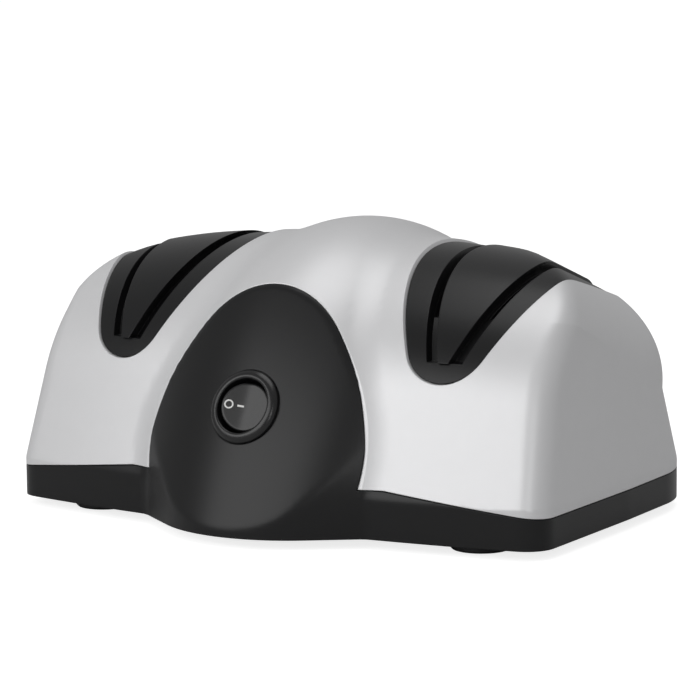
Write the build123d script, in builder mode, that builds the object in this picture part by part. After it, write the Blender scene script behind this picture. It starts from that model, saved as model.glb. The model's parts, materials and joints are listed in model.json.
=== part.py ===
from build123d import *
import os
from math import atan2, cos, degrees, radians, sin, sqrt, tan

# Electric knife sharpener: a silver top shell with two lobes and a central hump, a black
# housing with an arched front panel, two slotted guides, a rocker switch, and a motor whose
# shaft carries a grinding wheel under each guide.
# Units are millimetres. +Z is up, the front is -Y. The bounding box is centred on X and Y,
# and the rubber feet stand on Z = 0.

# ---- driving dimensions: outer form ----
foot_height = 3.0
floor_thickness = 2.5
wall = 2.5
seam_gap = 0.3
fit_gap = 0.2
half_length = 94.0
loaf_radius = 59.5
loaf_axis_height = 27.0
crown_radius = 480.0
crown_overrun = 20.0
wall_lean = 17.5
wall_inset = 0.3
knee_height = 15.0
wall_join_height = 40.5
end_lean = 5.0
end_round = 30.0
end_top_height = 82.5
end_slope = 10.0
end_axis_height = -10.0
corner_radius = 13.0
hump_radius = 82.0
hump_axis_height = 8.5
hump_section_radius = 42.0
hump_arc_half_width = 24.0
hump_half_width = 50.0
hump_rear_step = 1.5
panel_reach = 82.8
panel_bow = 2.3
panel_section_radius = 60.0
panel_flare = 16.0
panel_rise = 0.8
arch_top_height = 75.2
arch_top_reach = 47.8
arch_lean = 16.0
seam_height_front = 17.5
seam_height_end = 12.0
seam_flat_half_width = 45.0
skirt_rear_reach = 45.0

# ---- driving dimensions: guides ----
stage_spacing = 114.0
tongue_radius = 13.5
tongue_axis_height = 62.0
tongue_flare = 27.0
guide_thickness = 6.0
guide_lip = 3.0
slot_width = 3.9
slot_tilt = 20.5
slot_root_half_width = 2.2
slot_root_height = 56.0
slot_end_height = 54.5
slot_groove_depth = 3.0
slit_width = 2.6
slit_start_height = 66.0
wedge_rise = 0.8

# ---- driving dimensions: switch ----
bezel_diameter = 23.0
bezel_thickness = 2.5
bezel_sink = 0.9
bezel_chamfer = 1.1
switch_body_diameter = 20.0
switch_body_depth = 14.0
switch_opening_diameter = 17.0
switch_cup_depth = 11.0
rocker_radius = 7.6
rocker_tilt = 11.0
rocker_rise = 2.8
rocker_pivot_depth = 3.0
rocker_drop = 3.0
pivot_diameter = 2.0
mark_depth = 0.25
mark_ring_radius = 1.7
mark_line = 0.6
mark_ring_offset = 5.1
mark_bar_offset = 2.1
mark_bar_length = 2.4
terminal_width = 4.8
terminal_thickness = 0.8
terminal_length = 7.0
terminal_spacing = 10.0

# ---- driving dimensions: motor and wheels ----
shaft_diameter = 6.0
shaft_length = 152.0
shaft_height = 48.0
stack_thickness = 20.0
stack_half_width = 29.0
stack_top_rise = 21.0
stack_bottom_drop = 32.0
limb_height = 10.0
window_height = 6.0
window_half_width = 18.0
rotor_diameter = 26.0
air_gap = 0.5
shading_ring_size = 2.0
shading_ring_height = 6.75
end_ring_length = 3.0
bobbin_wall = 1.0
coil_build = 4.5
bracket_offset = 20.0
bracket_thickness = 3.0
bracket_height = 12.0
bracket_leg_width = 7.0
bracket_boss_diameter = 16.0
bracket_boss_length = 9.0
bracket_foot_length = 12.0
bracket_foot_thickness = 2.0
shaft_chamfer = 0.6
bearing_gap = 0.1
bush_diameter = 10.0
motor_screw_diameter = 4.0
motor_screw_offset = 25.0
motor_screw_head_height = 2.5
motor_nut_across_flats = 7.0
motor_nut_length = 3.2
mount_diameter = 10.0
mount_height = 3.0
post_diameter = 9.0
fan_offset = 33.0
fan_width = 7.0
fan_diameter = 50.0
fan_hub_diameter = 14.0
fan_blades = 9
fan_blade_chord = 8.0
fan_blade_thickness = 1.2
fan_blade_pitch = 50.0
hub_diameter = 12.0
hub_length = 24.0
hub_flange_width = 2.0
hub_flange_rise = 3.0
wheel_radius = 24.0
wheel_rim_half_width = 7.5
wheel_root_half_width = 4.0
wheel_centre_gap = 2.4
nut_across_flats = 10.0
nut_length = 4.0

# ---- driving dimensions: feet, screws, cord gland ----
foot_diameter = 18.5
foot_offset_x = 68.0
foot_offset_y = 45.0
foot_stem_diameter = 6.0
foot_chamfer = 0.6
screw_offset_x = 81.0
screw_offset_y = 34.0
screw_diameter = 3.0
screw_head_diameter = 6.0
screw_length = 14.0
countersink_angle = 82.0
cross_slot = 0.8
boss_diameter = 8.0
gland_height = 9.7
gland_flange_diameter = 10.4
gland_body_diameter = 8.0
gland_bore = 6.0
gland_flange_thickness = 1.5
gland_inner_length = 6.0

# ---- derived positions ----
lean_rate = tan(radians(wall_lean))
arch_rate = tan(radians(arch_lean))
floor_top = foot_height + floor_thickness
form_top = hump_axis_height + hump_radius + wall
wide = 3 * half_length
stage_x = stage_spacing / 2


def wall_reach(height, inset=0.0):
    """Distance from the loaf's axis to its leaning wall at one height, on X = 0."""
    radius = loaf_radius - inset - wall_inset
    return radius / cos(radians(wall_lean)) - (height - loaf_axis_height) * lean_rate


rear_reach = wall_reach(knee_height) + hump_rear_step
loaf_y = (panel_reach - rear_reach - gland_flange_thickness) / 2
shaft_y = loaf_y
rear_wall_y = loaf_y + rear_reach

chord_y = panel_reach - arch_top_reach - panel_rise
chord_z = arch_top_height - foot_height
panel_lean = degrees(atan2(chord_y, chord_z))
panel_normal = Vector(0, -cos(radians(panel_lean)), sin(radians(panel_lean)))
panel_up = Vector(0, sin(radians(panel_lean)), cos(radians(panel_lean)))
panel_base = Vector(0, loaf_y - panel_reach, foot_height)
panel_top = Vector(0, loaf_y - arch_top_reach - panel_rise, arch_top_height)
panel_middle = (panel_base + panel_top) * 0.5 + panel_normal * panel_bow
switch_plane = Plane(origin=panel_middle, x_dir=(1, 0, 0), z_dir=panel_normal)
pivot_point = panel_middle - panel_normal * rocker_pivot_depth
rocker_plane = Plane(origin=pivot_point, x_dir=(1, 0, 0), z_dir=panel_normal).rotated((0, rocker_tilt, 0))

os.makedirs("parts", exist_ok=True)


def save(solid, name):
    """Label one finished piece and write it under its node name."""
    solid.label = name
    export_step(solid, "parts/" + name + ".step")


inward = (Align.CENTER, Align.CENTER, Align.MAX)
outward = (Align.CENTER, Align.CENTER, Align.MIN)


# ---- outer form ----
def lobes_form(inset, bottom):
    """Long loaf with leaning walls and rounded ends, each face moved inward by inset."""
    height = form_top - knee_height
    middle = knee_height + height / 2
    end_rate = tan(radians(end_lean))
    length = half_length - inset
    with BuildPart() as walls:
        with Locations((0, 0, middle)):
            Box(wide, wide, height)
        for side in (-1, 1):
            centre_y = loaf_y + side * (wall_reach(knee_height, inset) - crown_radius)
            with Locations((0, centre_y, middle)):
                Cone(crown_radius, crown_radius - height * lean_rate, height, mode=Mode.INTERSECT)
        with BuildSketch(Plane.XZ.offset(-wide / 2)):
            Polygon(
                (-length, knee_height),
                (length, knee_height),
                (length - height * end_rate, form_top),
                (height * end_rate - length, form_top),
                align=None,
            )
        extrude(amount=wide, mode=Mode.INTERSECT)
        corners = walls.edges().filter_by(lambda edge: abs(edge.tangent_at(0.5).Z) > 0.8)
        fillet(corners, radius=corner_radius - inset)
        extrude(walls.faces().sort_by(Axis.Z)[0], amount=knee_height - bottom)

    with BuildPart() as barrel:
        radius = loaf_radius - inset
        reach = half_length + crown_overrun
        edge_radius = radius - crown_radius + sqrt(crown_radius**2 - reach**2)
        with BuildSketch(Plane.XZ.offset(-loaf_y)):
            with BuildLine():
                Polyline(
                    (-reach, loaf_axis_height + edge_radius),
                    (-reach, loaf_axis_height),
                    (reach, loaf_axis_height),
                    (reach, loaf_axis_height + edge_radius),
                )
                ThreePointArc(
                    (reach, loaf_axis_height + edge_radius),
                    (0, loaf_axis_height + radius),
                    (-reach, loaf_axis_height + edge_radius),
                )
            make_face()
        revolve(axis=Axis((0, loaf_y, loaf_axis_height), (1, 0, 0)))
        with Locations((0, loaf_y, wall_join_height / 2)):
            Box(2 * reach, wide, wall_join_height)

    with BuildPart() as cap:
        start = radians(end_lean)
        stop = radians(90 - end_slope)
        radius = end_round - inset
        centre_z = end_top_height - end_round
        centre_x = length - (centre_z - knee_height) * end_rate - radius / cos(start)
        points = [
            (centre_x + radius * cos(angle), centre_z + radius * sin(angle))
            for angle in (start, (start + stop) / 2, stop)
        ]
        mirrored = [(-x, z) for x, z in points]
        peak = points[2][1] + points[2][0] * tan(radians(end_slope))
        step_x = points[0][0] + wall_inset
        with BuildSketch(Plane.XZ.offset(-loaf_y)):
            with BuildLine():
                Polyline(
                    (step_x, points[0][1]),
                    (wide / 2, points[0][1]),
                    (wide / 2, end_axis_height),
                    (-wide / 2, end_axis_height),
                    (-wide / 2, points[0][1]),
                    (-step_x, points[0][1]),
                )
                ThreePointArc((step_x, points[0][1]), points[1], points[2])
                Polyline(points[2], (0, peak), mirrored[2])
                ThreePointArc(mirrored[2], mirrored[1], (-step_x, points[0][1]))
            make_face()
        revolve(axis=Axis((0, loaf_y, end_axis_height), (1, 0, 0)))

    with BuildPart() as form:
        add(walls)
        add(barrel, mode=Mode.INTERSECT)
        add(cap, mode=Mode.INTERSECT)
    return form.part


def hump_form(inset, bottom):
    """Central hump: a ring-shaped crest turned about a cross axis, flat at the rear."""
    crest = hump_radius - inset
    section = hump_section_radius - inset
    shoulder_x = hump_arc_half_width * section / hump_section_radius
    shoulder = crest - section + sqrt(section**2 - shoulder_x**2)
    slope = shoulder_x / sqrt(section**2 - shoulder_x**2)
    foot = shoulder - (hump_half_width - shoulder_x) * slope
    with BuildPart() as form:
        with BuildSketch(Plane.XZ.offset(-loaf_y)):
            with BuildLine():
                Polyline(
                    (-shoulder_x, hump_axis_height + shoulder),
                    (-hump_half_width, hump_axis_height + foot),
                    (-hump_half_width, hump_axis_height),
                    (hump_half_width, hump_axis_height),
                    (hump_half_width, hump_axis_height + foot),
                    (shoulder_x, hump_axis_height + shoulder),
                )
                ThreePointArc(
                    (shoulder_x, hump_axis_height + shoulder),
                    (0, hump_axis_height + crest),
                    (-shoulder_x, hump_axis_height + shoulder),
                )
            make_face()
        revolve(axis=Axis((0, loaf_y, hump_axis_height), (1, 0, 0)))
        rear_knee = rear_wall_y - inset
        rear_top = rear_knee - (form_top - knee_height) * lean_rate
        with BuildSketch(Plane.YZ.offset(-wide / 2)):
            Polygon(
                (-wide, bottom),
                (rear_knee, bottom),
                (rear_knee, knee_height),
                (rear_top, form_top),
                (-wide, form_top),
                align=None,
            )
        extrude(amount=wide, mode=Mode.INTERSECT)
    return form.part


def panel_form(inset):
    """Bulging front panel: a bowed profile turned about an axis leaning to the rear."""
    shift = Vector(0, inset / cos(radians(panel_lean)), 0)
    low = panel_base + shift
    high = panel_top + shift
    middle = panel_middle + shift
    tilt = radians(panel_lean + panel_flare)
    axis_dir = Vector(0, sin(tilt), cos(tilt))
    inward = Vector(0, cos(tilt), -sin(tilt))
    axis_low = panel_base + inward * panel_section_radius
    axis_high = axis_low + axis_dir * (high - axis_low).dot(axis_dir)
    axis_start = axis_low + axis_dir * (low - axis_low).dot(axis_dir)
    with BuildPart() as form:
        with BuildSketch(Plane.YZ):
            with BuildLine():
                ThreePointArc((low.Y, low.Z), (middle.Y, middle.Z), (high.Y, high.Z))
                Polyline(
                    (high.Y, high.Z),
                    (axis_high.Y, axis_high.Z),
                    (axis_start.Y, axis_start.Z),
                    (low.Y, low.Z),
                )
            make_face()
        revolve(axis=Axis(axis_low, axis_dir))
    return form.part


def arch_side(front, gap, bottom):
    """Block in front of the arch plane, or behind it, moved off the plane by gap."""
    shift = gap / cos(radians(arch_lean))
    direction = -1 if front else 1
    low_y = loaf_y - arch_top_reach - (arch_top_height - bottom) * arch_rate + direction * shift
    high_y = loaf_y - arch_top_reach + (form_top - arch_top_height) * arch_rate + direction * shift
    with BuildPart() as block:
        with BuildSketch(Plane.YZ.offset(-wide / 2)):
            Polygon(
                (low_y, bottom),
                (direction * wide, bottom),
                (direction * wide, form_top),
                (high_y, form_top),
                align=None,
            )
        extrude(amount=wide)
    return block.part


def skirt_zone(gap):
    """Space below the seam line, as far back as the skirt reaches, grown by gap."""
    with BuildPart() as block:
        with BuildSketch(Plane.XZ.offset(wide / 2)):
            Polygon(
                (-wide / 2, -1),
                (wide / 2, -1),
                (wide / 2, seam_height_end + gap),
                (half_length, seam_height_end + gap),
                (seam_flat_half_width, seam_height_front + gap),
                (-seam_flat_half_width, seam_height_front + gap),
                (-half_length, seam_height_end + gap),
                (-wide / 2, seam_height_end + gap),
                align=None,
            )
        extrude(amount=-(wide / 2 + loaf_y + skirt_rear_reach + gap))
    return block.part


lobes_outer = lobes_form(0, foot_height)
lobes_inner = lobes_form(wall, floor_top)
hump_outer = hump_form(0, foot_height)
hump_inner = hump_form(wall, floor_top)


def tongue_zone(side, growth):
    """Upright prism of the guide's tongue outline, grown sideways by growth."""
    radius = tongue_radius + growth
    flare = radians(tongue_flare)
    centre = side * stage_x
    touch_x = radius * cos(flare)
    touch_z = tongue_axis_height - radius * sin(flare)
    top_x = touch_x + (form_top - touch_z) * tan(flare)
    with BuildPart() as prism:
        with BuildSketch(Plane.XZ.offset(-wide / 2)):
            with BuildLine():
                Polyline(
                    (centre - touch_x, touch_z),
                    (centre - top_x, form_top),
                    (centre + top_x, form_top),
                    (centre + touch_x, touch_z),
                )
                ThreePointArc(
                    (centre + touch_x, touch_z),
                    (centre, tongue_axis_height - radius),
                    (centre - touch_x, touch_z),
                )
            make_face()
        extrude(amount=wide)
    return prism.part


def slot_zone(side, tilt_side, inner_edge, outer_edge, start_height):
    """Tilted prism between two edges measured outward from the wedge flank."""
    rate = tan(radians(slot_tilt))

    def edge_x(offset, height):
        reach = slot_root_half_width + (height - slot_root_height) * rate + offset
        return side * stage_x + tilt_side * reach

    with BuildPart() as prism:
        with BuildSketch(Plane.XZ.offset(-wide / 2)):
            Polygon(
                (edge_x(inner_edge, start_height), start_height),
                (edge_x(outer_edge, start_height), start_height),
                (edge_x(outer_edge, form_top), form_top),
                (edge_x(inner_edge, form_top), form_top),
                align=None,
            )
        extrude(amount=wide)
    return prism.part


# ---- top shell ----
screw_places = [
    (x * screw_offset_x, loaf_y + y * screw_offset_y) for x in (-1, 1) for y in (-1, 1)
]
with BuildPart() as top_shell:
    add(lobes_outer)
    add(hump_outer)
    add(lobes_form(wall, 0), mode=Mode.SUBTRACT)
    add(hump_form(wall, 0), mode=Mode.SUBTRACT)
    add(arch_side(True, 0, 0), mode=Mode.SUBTRACT)
    add(skirt_zone(seam_gap), mode=Mode.SUBTRACT)
    for stage in (-1, 1):
        add(tongue_zone(stage, 0), mode=Mode.SUBTRACT)
    with BuildSketch(Plane.XZ.offset(-loaf_y)):
        with Locations((0, gland_height)):
            Circle(gland_body_diameter / 2 + fit_gap)
    extrude(amount=-wide, mode=Mode.SUBTRACT)
with BuildPart() as shell_bosses:
    with BuildSketch(Plane.XY.offset(floor_top)):
        with Locations(*screw_places):
            Circle(boss_diameter / 2)
    extrude(amount=form_top - floor_top)
    add(lobes_form(wall / 2, floor_top), mode=Mode.INTERSECT)
    for stage in (-1, 1):
        add(tongue_zone(stage, guide_lip + fit_gap), mode=Mode.SUBTRACT)
    with BuildSketch(Plane.XY.offset(floor_top)):
        with Locations(*screw_places):
            Circle(screw_diameter / 2)
    extrude(amount=screw_length, mode=Mode.SUBTRACT)
with BuildPart() as shell_whole:
    add(top_shell)
    add(shell_bosses)
save(shell_whole.part, "top_shell")

# ---- base housing with the arched front panel ----
foot_places = [(x * foot_offset_x, loaf_y + y * foot_offset_y) for x in (-1, 1) for y in (-1, 1)]
post_x = bracket_offset + bracket_foot_length - mount_diameter / 2
post_places = [(x * post_x, loaf_y + y * motor_screw_offset) for x in (-1, 1) for y in (-1, 1)]
post_height = shaft_height - stack_bottom_drop - coil_build - bobbin_wall - mount_height - floor_top
mount_bottom = floor_top + post_height
with BuildPart() as panel_outer:
    add(hump_outer)
    add(arch_side(True, seam_gap, foot_height), mode=Mode.INTERSECT)
    add(skirt_zone(0))
    add(panel_form(0), mode=Mode.INTERSECT)
    with Locations((0, 0, foot_height)):
        Box(wide, wide, form_top, align=outward, mode=Mode.INTERSECT)
with BuildPart() as panel_inner:
    add(hump_form(wall, floor_top))
    with Locations((0, loaf_y, (floor_top + seam_height_front - wall) / 2)):
        Box(2 * (half_length - wall), wide, seam_height_front - wall - floor_top)
    add(panel_form(wall), mode=Mode.INTERSECT)
with BuildPart() as rear_floor:
    add(hump_form(wall + fit_gap, foot_height))
    with Locations((0, loaf_y + wide / 2, foot_height + floor_thickness / 2)):
        Box(wide, wide, floor_thickness, mode=Mode.INTERSECT)
with BuildPart() as floor_plate:
    add(lobes_form(wall + fit_gap, foot_height))
    with Locations((0, 0, foot_height + floor_thickness / 2)):
        Box(wide, wide, floor_thickness, mode=Mode.INTERSECT)
    add(rear_floor)
with BuildPart() as base_housing:
    add(lobes_outer)
    add(skirt_zone(0), mode=Mode.INTERSECT)
    add(panel_outer)
    add(lobes_inner, mode=Mode.SUBTRACT)
    add(panel_inner, mode=Mode.SUBTRACT)
    add(floor_plate)
    with BuildSketch(Plane.XY.offset(floor_top)):
        with Locations(*post_places):
            Circle(post_diameter / 2)
    extrude(amount=post_height)
    with BuildSketch(Plane.XY.offset(floor_top)):
        with Locations(*post_places):
            Circle(screw_diameter / 2)
    extrude(amount=post_height, mode=Mode.SUBTRACT)
    with Locations(*[(x, y, foot_height) for x, y in foot_places]):
        Cylinder(foot_stem_diameter / 2 + fit_gap / 2, floor_top, mode=Mode.SUBTRACT)
    with Locations(*[Location((x, y, foot_height), (180, 0, 0)) for x, y in screw_places]):
        CounterSinkHole(
            screw_diameter / 2,
            screw_head_diameter / 2,
            depth=floor_thickness,
            counter_sink_angle=countersink_angle,
        )
    with Locations(switch_plane.offset(-bezel_sink)):
        Cylinder(bezel_diameter / 2 + fit_gap, bezel_diameter, align=outward, mode=Mode.SUBTRACT)
    with Locations(switch_plane):
        Cylinder(switch_body_diameter / 2 + fit_gap / 2, bezel_diameter, mode=Mode.SUBTRACT)
save(base_housing.part, "base_housing")


# ---- slotted guides ----
guide_layer = lobes_form(guide_thickness, floor_top)
groove_floor = lobes_form(slot_groove_depth, floor_top)
wedge_skin = lobes_form(-wedge_rise, floor_top)
lip_roof = lobes_form(wall + fit_gap, floor_top)


def make_guide(side):
    """Tongue-shaped guide over the lobe, with two slots that lean apart at the top."""
    rate = tan(radians(slot_tilt))
    low_half = slot_root_half_width + (slot_end_height - slot_root_height) * rate
    high_half = slot_root_half_width + (form_top - slot_root_height) * rate
    with BuildPart() as lip:
        add(lip_roof)
        add(tongue_zone(side, guide_lip), mode=Mode.INTERSECT)
        add(guide_layer, mode=Mode.SUBTRACT)
    with BuildPart() as wedge:
        with BuildSketch(Plane.XZ.offset(-wide / 2)):
            with Locations((side * stage_x, 0)):
                Polygon(
                    (-low_half, slot_end_height),
                    (low_half, slot_end_height),
                    (high_half, form_top),
                    (-high_half, form_top),
                    align=None,
                )
        extrude(amount=wide)
        add(wedge_skin, mode=Mode.INTERSECT)
        add(groove_floor, mode=Mode.SUBTRACT)
    grooves = []
    for lean in (-1, 1):
        with BuildPart() as groove:
            add(slot_zone(side, lean, 0, slot_width, slot_end_height))
            add(groove_floor, mode=Mode.SUBTRACT)
        grooves.append(groove.part)
    with BuildPart() as guide:
        add(lobes_outer)
        add(tongue_zone(side, -seam_gap), mode=Mode.INTERSECT)
        add(guide_layer, mode=Mode.SUBTRACT)
        add(lip)
        add(grooves, mode=Mode.SUBTRACT)
        slit_inner = slot_width - slit_width
        for lean in (-1, 1):
            add(slot_zone(side, lean, slit_inner, slot_width, slit_start_height), mode=Mode.SUBTRACT)
        add(wedge)
    return guide.part


save(make_guide(-1), "guide_insert_left")
save(make_guide(1), "guide_insert_right")

# ---- rocker switch ----
opening_radius = switch_opening_diameter / 2
with BuildPart() as switch_body:
    with Locations(switch_plane.offset(-bezel_sink)):
        Cylinder(bezel_diameter / 2, bezel_thickness, align=outward)
    rim = switch_body.edges().sort_by(Axis(panel_middle, panel_normal))[-1]
    chamfer(rim, bezel_chamfer)
    with Locations(switch_plane.offset(-bezel_sink)):
        Cylinder(switch_body_diameter / 2, switch_body_depth, align=inward)
    with Locations(switch_plane.offset(bezel_thickness)):
        Cylinder(opening_radius, switch_cup_depth + bezel_thickness, align=inward, mode=Mode.SUBTRACT)
    with Locations(Plane(origin=pivot_point, x_dir=(1, 0, 0), z_dir=panel_up)):
        Cylinder((pivot_diameter + fit_gap) / 2, switch_body_diameter - wall / 2, mode=Mode.SUBTRACT)
    back_plane = switch_plane.offset(-bezel_sink - switch_body_depth + wall / 2)
    for x in (-terminal_spacing / 2, terminal_spacing / 2):
        with Locations(back_plane * Location((x, 0, 0))):
            Box(terminal_thickness, terminal_width, wall / 2, align=inward, mode=Mode.SUBTRACT)
save(switch_body.part, "switch_body")

with BuildPart() as terminals:
    for x in (-terminal_spacing / 2, terminal_spacing / 2):
        with Locations(back_plane * Location((x, 0, 0))):
            Box(terminal_thickness, terminal_width, wall / 2 + terminal_length, align=inward)
save(terminals.part, "switch_terminals")

edge_rise = rocker_rise + rocker_radius * tan(radians(rocker_tilt))
with BuildPart() as rocker:
    rocker_side = Plane(origin=rocker_plane.origin, x_dir=rocker_plane.x_dir, z_dir=-rocker_plane.y_dir)
    with BuildSketch(rocker_side):
        Polygon(
            (-rocker_radius, 0),
            (-rocker_radius / 2, -rocker_drop),
            (rocker_radius / 2, -rocker_drop),
            (rocker_radius, 0),
            (rocker_radius, edge_rise),
            (0, rocker_rise),
            (-rocker_radius, edge_rise),
            align=None,
        )
    extrude(amount=rocker_radius, both=True)
    with Locations(rocker_plane):
        Cylinder(rocker_radius, 2 * rocker_radius, mode=Mode.INTERSECT)
    with Locations(Plane(origin=pivot_point, x_dir=(1, 0, 0), z_dir=panel_up)):
        Cylinder(pivot_diameter / 2, switch_body_diameter - wall)
    face_plane = Plane(
        origin=rocker_plane.from_local_coords(Vector(0, 0, rocker_rise)),
        x_dir=rocker_plane.x_dir,
        z_dir=rocker_plane.z_dir,
    ).rotated((0, rocker_tilt, 0))
    with BuildSketch(face_plane):
        with Locations((-mark_ring_offset, 0)):
            Circle(mark_ring_radius)
            Circle(mark_ring_radius - mark_line, mode=Mode.SUBTRACT)
        with Locations((-mark_bar_offset, 0)):
            Rectangle(mark_bar_length, mark_line)
    extrude(amount=-mark_depth, mode=Mode.SUBTRACT)
save(rocker.part, "switch_rocker")

with BuildPart() as rocker_marks:
    with BuildSketch(face_plane):
        with Locations((-mark_ring_offset, 0)):
            Circle(mark_ring_radius)
            Circle(mark_ring_radius - mark_line, mode=Mode.SUBTRACT)
        with Locations((-mark_bar_offset, 0)):
            Rectangle(mark_bar_length, mark_line)
    extrude(amount=-mark_depth)
save(rocker_marks.part, "rocker_marks")

# ---- motor: laminations, coil, brackets ----
motor_plane = Plane(origin=(0, shaft_y, shaft_height), x_dir=(0, 1, 0), z_dir=(1, 0, 0))
stack_middle = (stack_top_rise - stack_bottom_drop) / 2
stack_height = stack_top_rise + stack_bottom_drop
limb_centre = -stack_bottom_drop + limb_height / 2
window_centre = -stack_bottom_drop + limb_height + window_height / 2
bore_radius = rotor_diameter / 2 + air_gap
ring_places = [(-bore_radius, -shading_ring_height), (bore_radius, shading_ring_height)]
with BuildPart() as motor_core:
    with BuildSketch(motor_plane):
        with Locations((0, stack_middle)):
            RectangleRounded(2 * stack_half_width, stack_height, limb_height / 4)
        Circle(bore_radius, mode=Mode.SUBTRACT)
        with Locations((0, window_centre)):
            Rectangle(2 * window_half_width, window_height, mode=Mode.SUBTRACT)
        with Locations((-motor_screw_offset, 0), (motor_screw_offset, 0)):
            Circle(motor_screw_diameter / 2 + fit_gap / 2, mode=Mode.SUBTRACT)
        with Locations(*ring_places):
            Rectangle(2 * shading_ring_size, shading_ring_size, mode=Mode.SUBTRACT)
    extrude(amount=stack_thickness / 2, both=True)
save(motor_core.part, "motor_core")

with BuildPart() as shading_rings:
    with BuildSketch(motor_plane):
        with Locations(*ring_places):
            Rectangle(2 * shading_ring_size, shading_ring_size)
        Circle(bore_radius, mode=Mode.SUBTRACT)
    extrude(amount=(stack_thickness + shading_ring_size) / 2, both=True)
save(shading_rings.part, "shading_rings")

half_stack = stack_thickness / 2
coil_length = 2 * (window_half_width - bobbin_wall)
with BuildPart() as bobbin:
    with BuildSketch(motor_plane):
        with Locations((0, limb_centre)):
            Rectangle(2 * window_half_width, limb_height + 2 * bobbin_wall)
    extrude(amount=half_stack + bobbin_wall, both=True)
    for y in (-window_half_width + bobbin_wall / 2, window_half_width - bobbin_wall / 2):
        with Locations(motor_plane * Location((y, limb_centre, 0))):
            flange = limb_height + 2 * window_height - 2 * fit_gap
            Box(bobbin_wall, flange, stack_thickness + 2 * window_height)
    with Locations(motor_plane * Location((0, limb_centre, 0))):
        Box(2 * stack_half_width, limb_height, stack_thickness, mode=Mode.SUBTRACT)
save(bobbin.part, "motor_bobbin")

with BuildPart() as coil:
    with Locations(motor_plane * Location((0, limb_centre, 0))):
        outer_size = limb_height + 2 * (bobbin_wall + coil_build)
        inner_size = limb_height + 2 * bobbin_wall
        Box(coil_length, outer_size, stack_thickness + 2 * (bobbin_wall + coil_build))
        Box(coil_length, inner_size, stack_thickness + 2 * bobbin_wall, mode=Mode.SUBTRACT)
    runs = coil.edges().filter_by(Axis.Y)
    fillet(runs.sort_by_distance(motor_plane.origin)[-2:], bobbin_wall)
save(coil.part, "motor_coil")

# ---- motor: rotor, shaft, end brackets, bearings ----
with BuildPart() as rotor_core:
    with Locations(motor_plane):
        Cylinder(rotor_diameter / 2, stack_thickness)
        Cylinder(rotor_diameter / 2 - air_gap, stack_thickness + 2 * end_ring_length)
        Cylinder(shaft_diameter / 2, shaft_length, mode=Mode.SUBTRACT)
save(rotor_core.part, "rotor_core")

with BuildPart() as motor_shaft:
    with Locations(motor_plane):
        Cylinder(shaft_diameter / 2, shaft_length)
    chamfer(motor_shaft.edges().filter_by(GeomType.CIRCLE), shaft_chamfer)
save(motor_shaft.part, "motor_shaft")

leg_centre = stack_half_width - bracket_leg_width / 2
leg_drop = shaft_height - mount_bottom - mount_height


def make_bracket(side):
    """End bracket: a bar with a bearing boss, two standoffs to the stack, legs and feet."""
    bar_plane = motor_plane.offset(side * bracket_offset)
    foot_x = side * (bracket_offset + bracket_foot_length / 2)
    with BuildPart() as bracket:
        with BuildSketch(bar_plane):
            Rectangle(2 * stack_half_width, bracket_height)
            with Locations((-leg_centre, -leg_drop / 2), (leg_centre, -leg_drop / 2)):
                Rectangle(bracket_leg_width, leg_drop)
        extrude(amount=side * bracket_thickness)
        with BuildSketch(bar_plane):
            Circle(bracket_boss_diameter / 2)
        extrude(amount=side * bracket_boss_length)
        with BuildSketch(bar_plane):
            with Locations((-leg_centre, 0), (leg_centre, 0)):
                Rectangle(bracket_leg_width, bracket_height)
        extrude(amount=side * (half_stack - bracket_offset))
        with BuildSketch(Plane.XY.offset(shaft_height - leg_drop)):
            with Locations((foot_x, shaft_y - leg_centre), (foot_x, shaft_y + leg_centre)):
                Rectangle(bracket_foot_length, bracket_leg_width)
        extrude(amount=bracket_foot_thickness)
        with Locations(motor_plane):
            Cylinder(bush_diameter / 2, shaft_length, mode=Mode.SUBTRACT)
        for y in (-motor_screw_offset, motor_screw_offset):
            with Locations(motor_plane * Location((y, 0, 0))):
                Cylinder((motor_screw_diameter + fit_gap) / 2, shaft_length, mode=Mode.SUBTRACT)
        with Locations(*[(x, y, shaft_height - leg_drop) for x, y in post_places]):
            Cylinder((screw_diameter + fit_gap) / 2, mount_height * 2, mode=Mode.SUBTRACT)
    return bracket.part


save(make_bracket(-1), "motor_bracket_left")
save(make_bracket(1), "motor_bracket_right")

for side, place in ((-1, "left"), (1, "right")):
    with BuildPart() as bush:
        with BuildSketch(motor_plane.offset(side * bracket_offset)):
            Circle(bush_diameter / 2)
            Circle((shaft_diameter + bearing_gap) / 2, mode=Mode.SUBTRACT)
        extrude(amount=side * bracket_boss_length)
    save(bush.part, "shaft_bush_" + place)

bracket_face = bracket_offset + bracket_thickness
screw_lines = [(-motor_screw_offset, 0), (motor_screw_offset, 0)]
with BuildPart() as motor_screws:
    with BuildSketch(motor_plane.offset(bracket_face)):
        with Locations(*screw_lines):
            Circle(motor_screw_diameter / 2)
    extrude(amount=-2 * bracket_face - motor_nut_length)
    with BuildSketch(motor_plane.offset(bracket_face)):
        with Locations(*screw_lines):
            Circle(motor_nut_across_flats / 2)
    extrude(amount=motor_screw_head_height)
    with BuildSketch(motor_plane.offset(bracket_face + motor_screw_head_height)):
        with Locations(*screw_lines):
            Rectangle(motor_nut_across_flats, cross_slot)
    extrude(amount=-motor_screw_head_height / 2, mode=Mode.SUBTRACT)
save(motor_screws.part, "motor_screws")

with BuildPart() as motor_nuts:
    with BuildSketch(motor_plane.offset(-bracket_face)):
        with Locations(*screw_lines):
            RegularPolygon(motor_nut_across_flats / 2, 6, major_radius=False)
            Circle(motor_screw_diameter / 2, mode=Mode.SUBTRACT)
    extrude(amount=-motor_nut_length)
save(motor_nuts.part, "motor_nuts")

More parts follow.
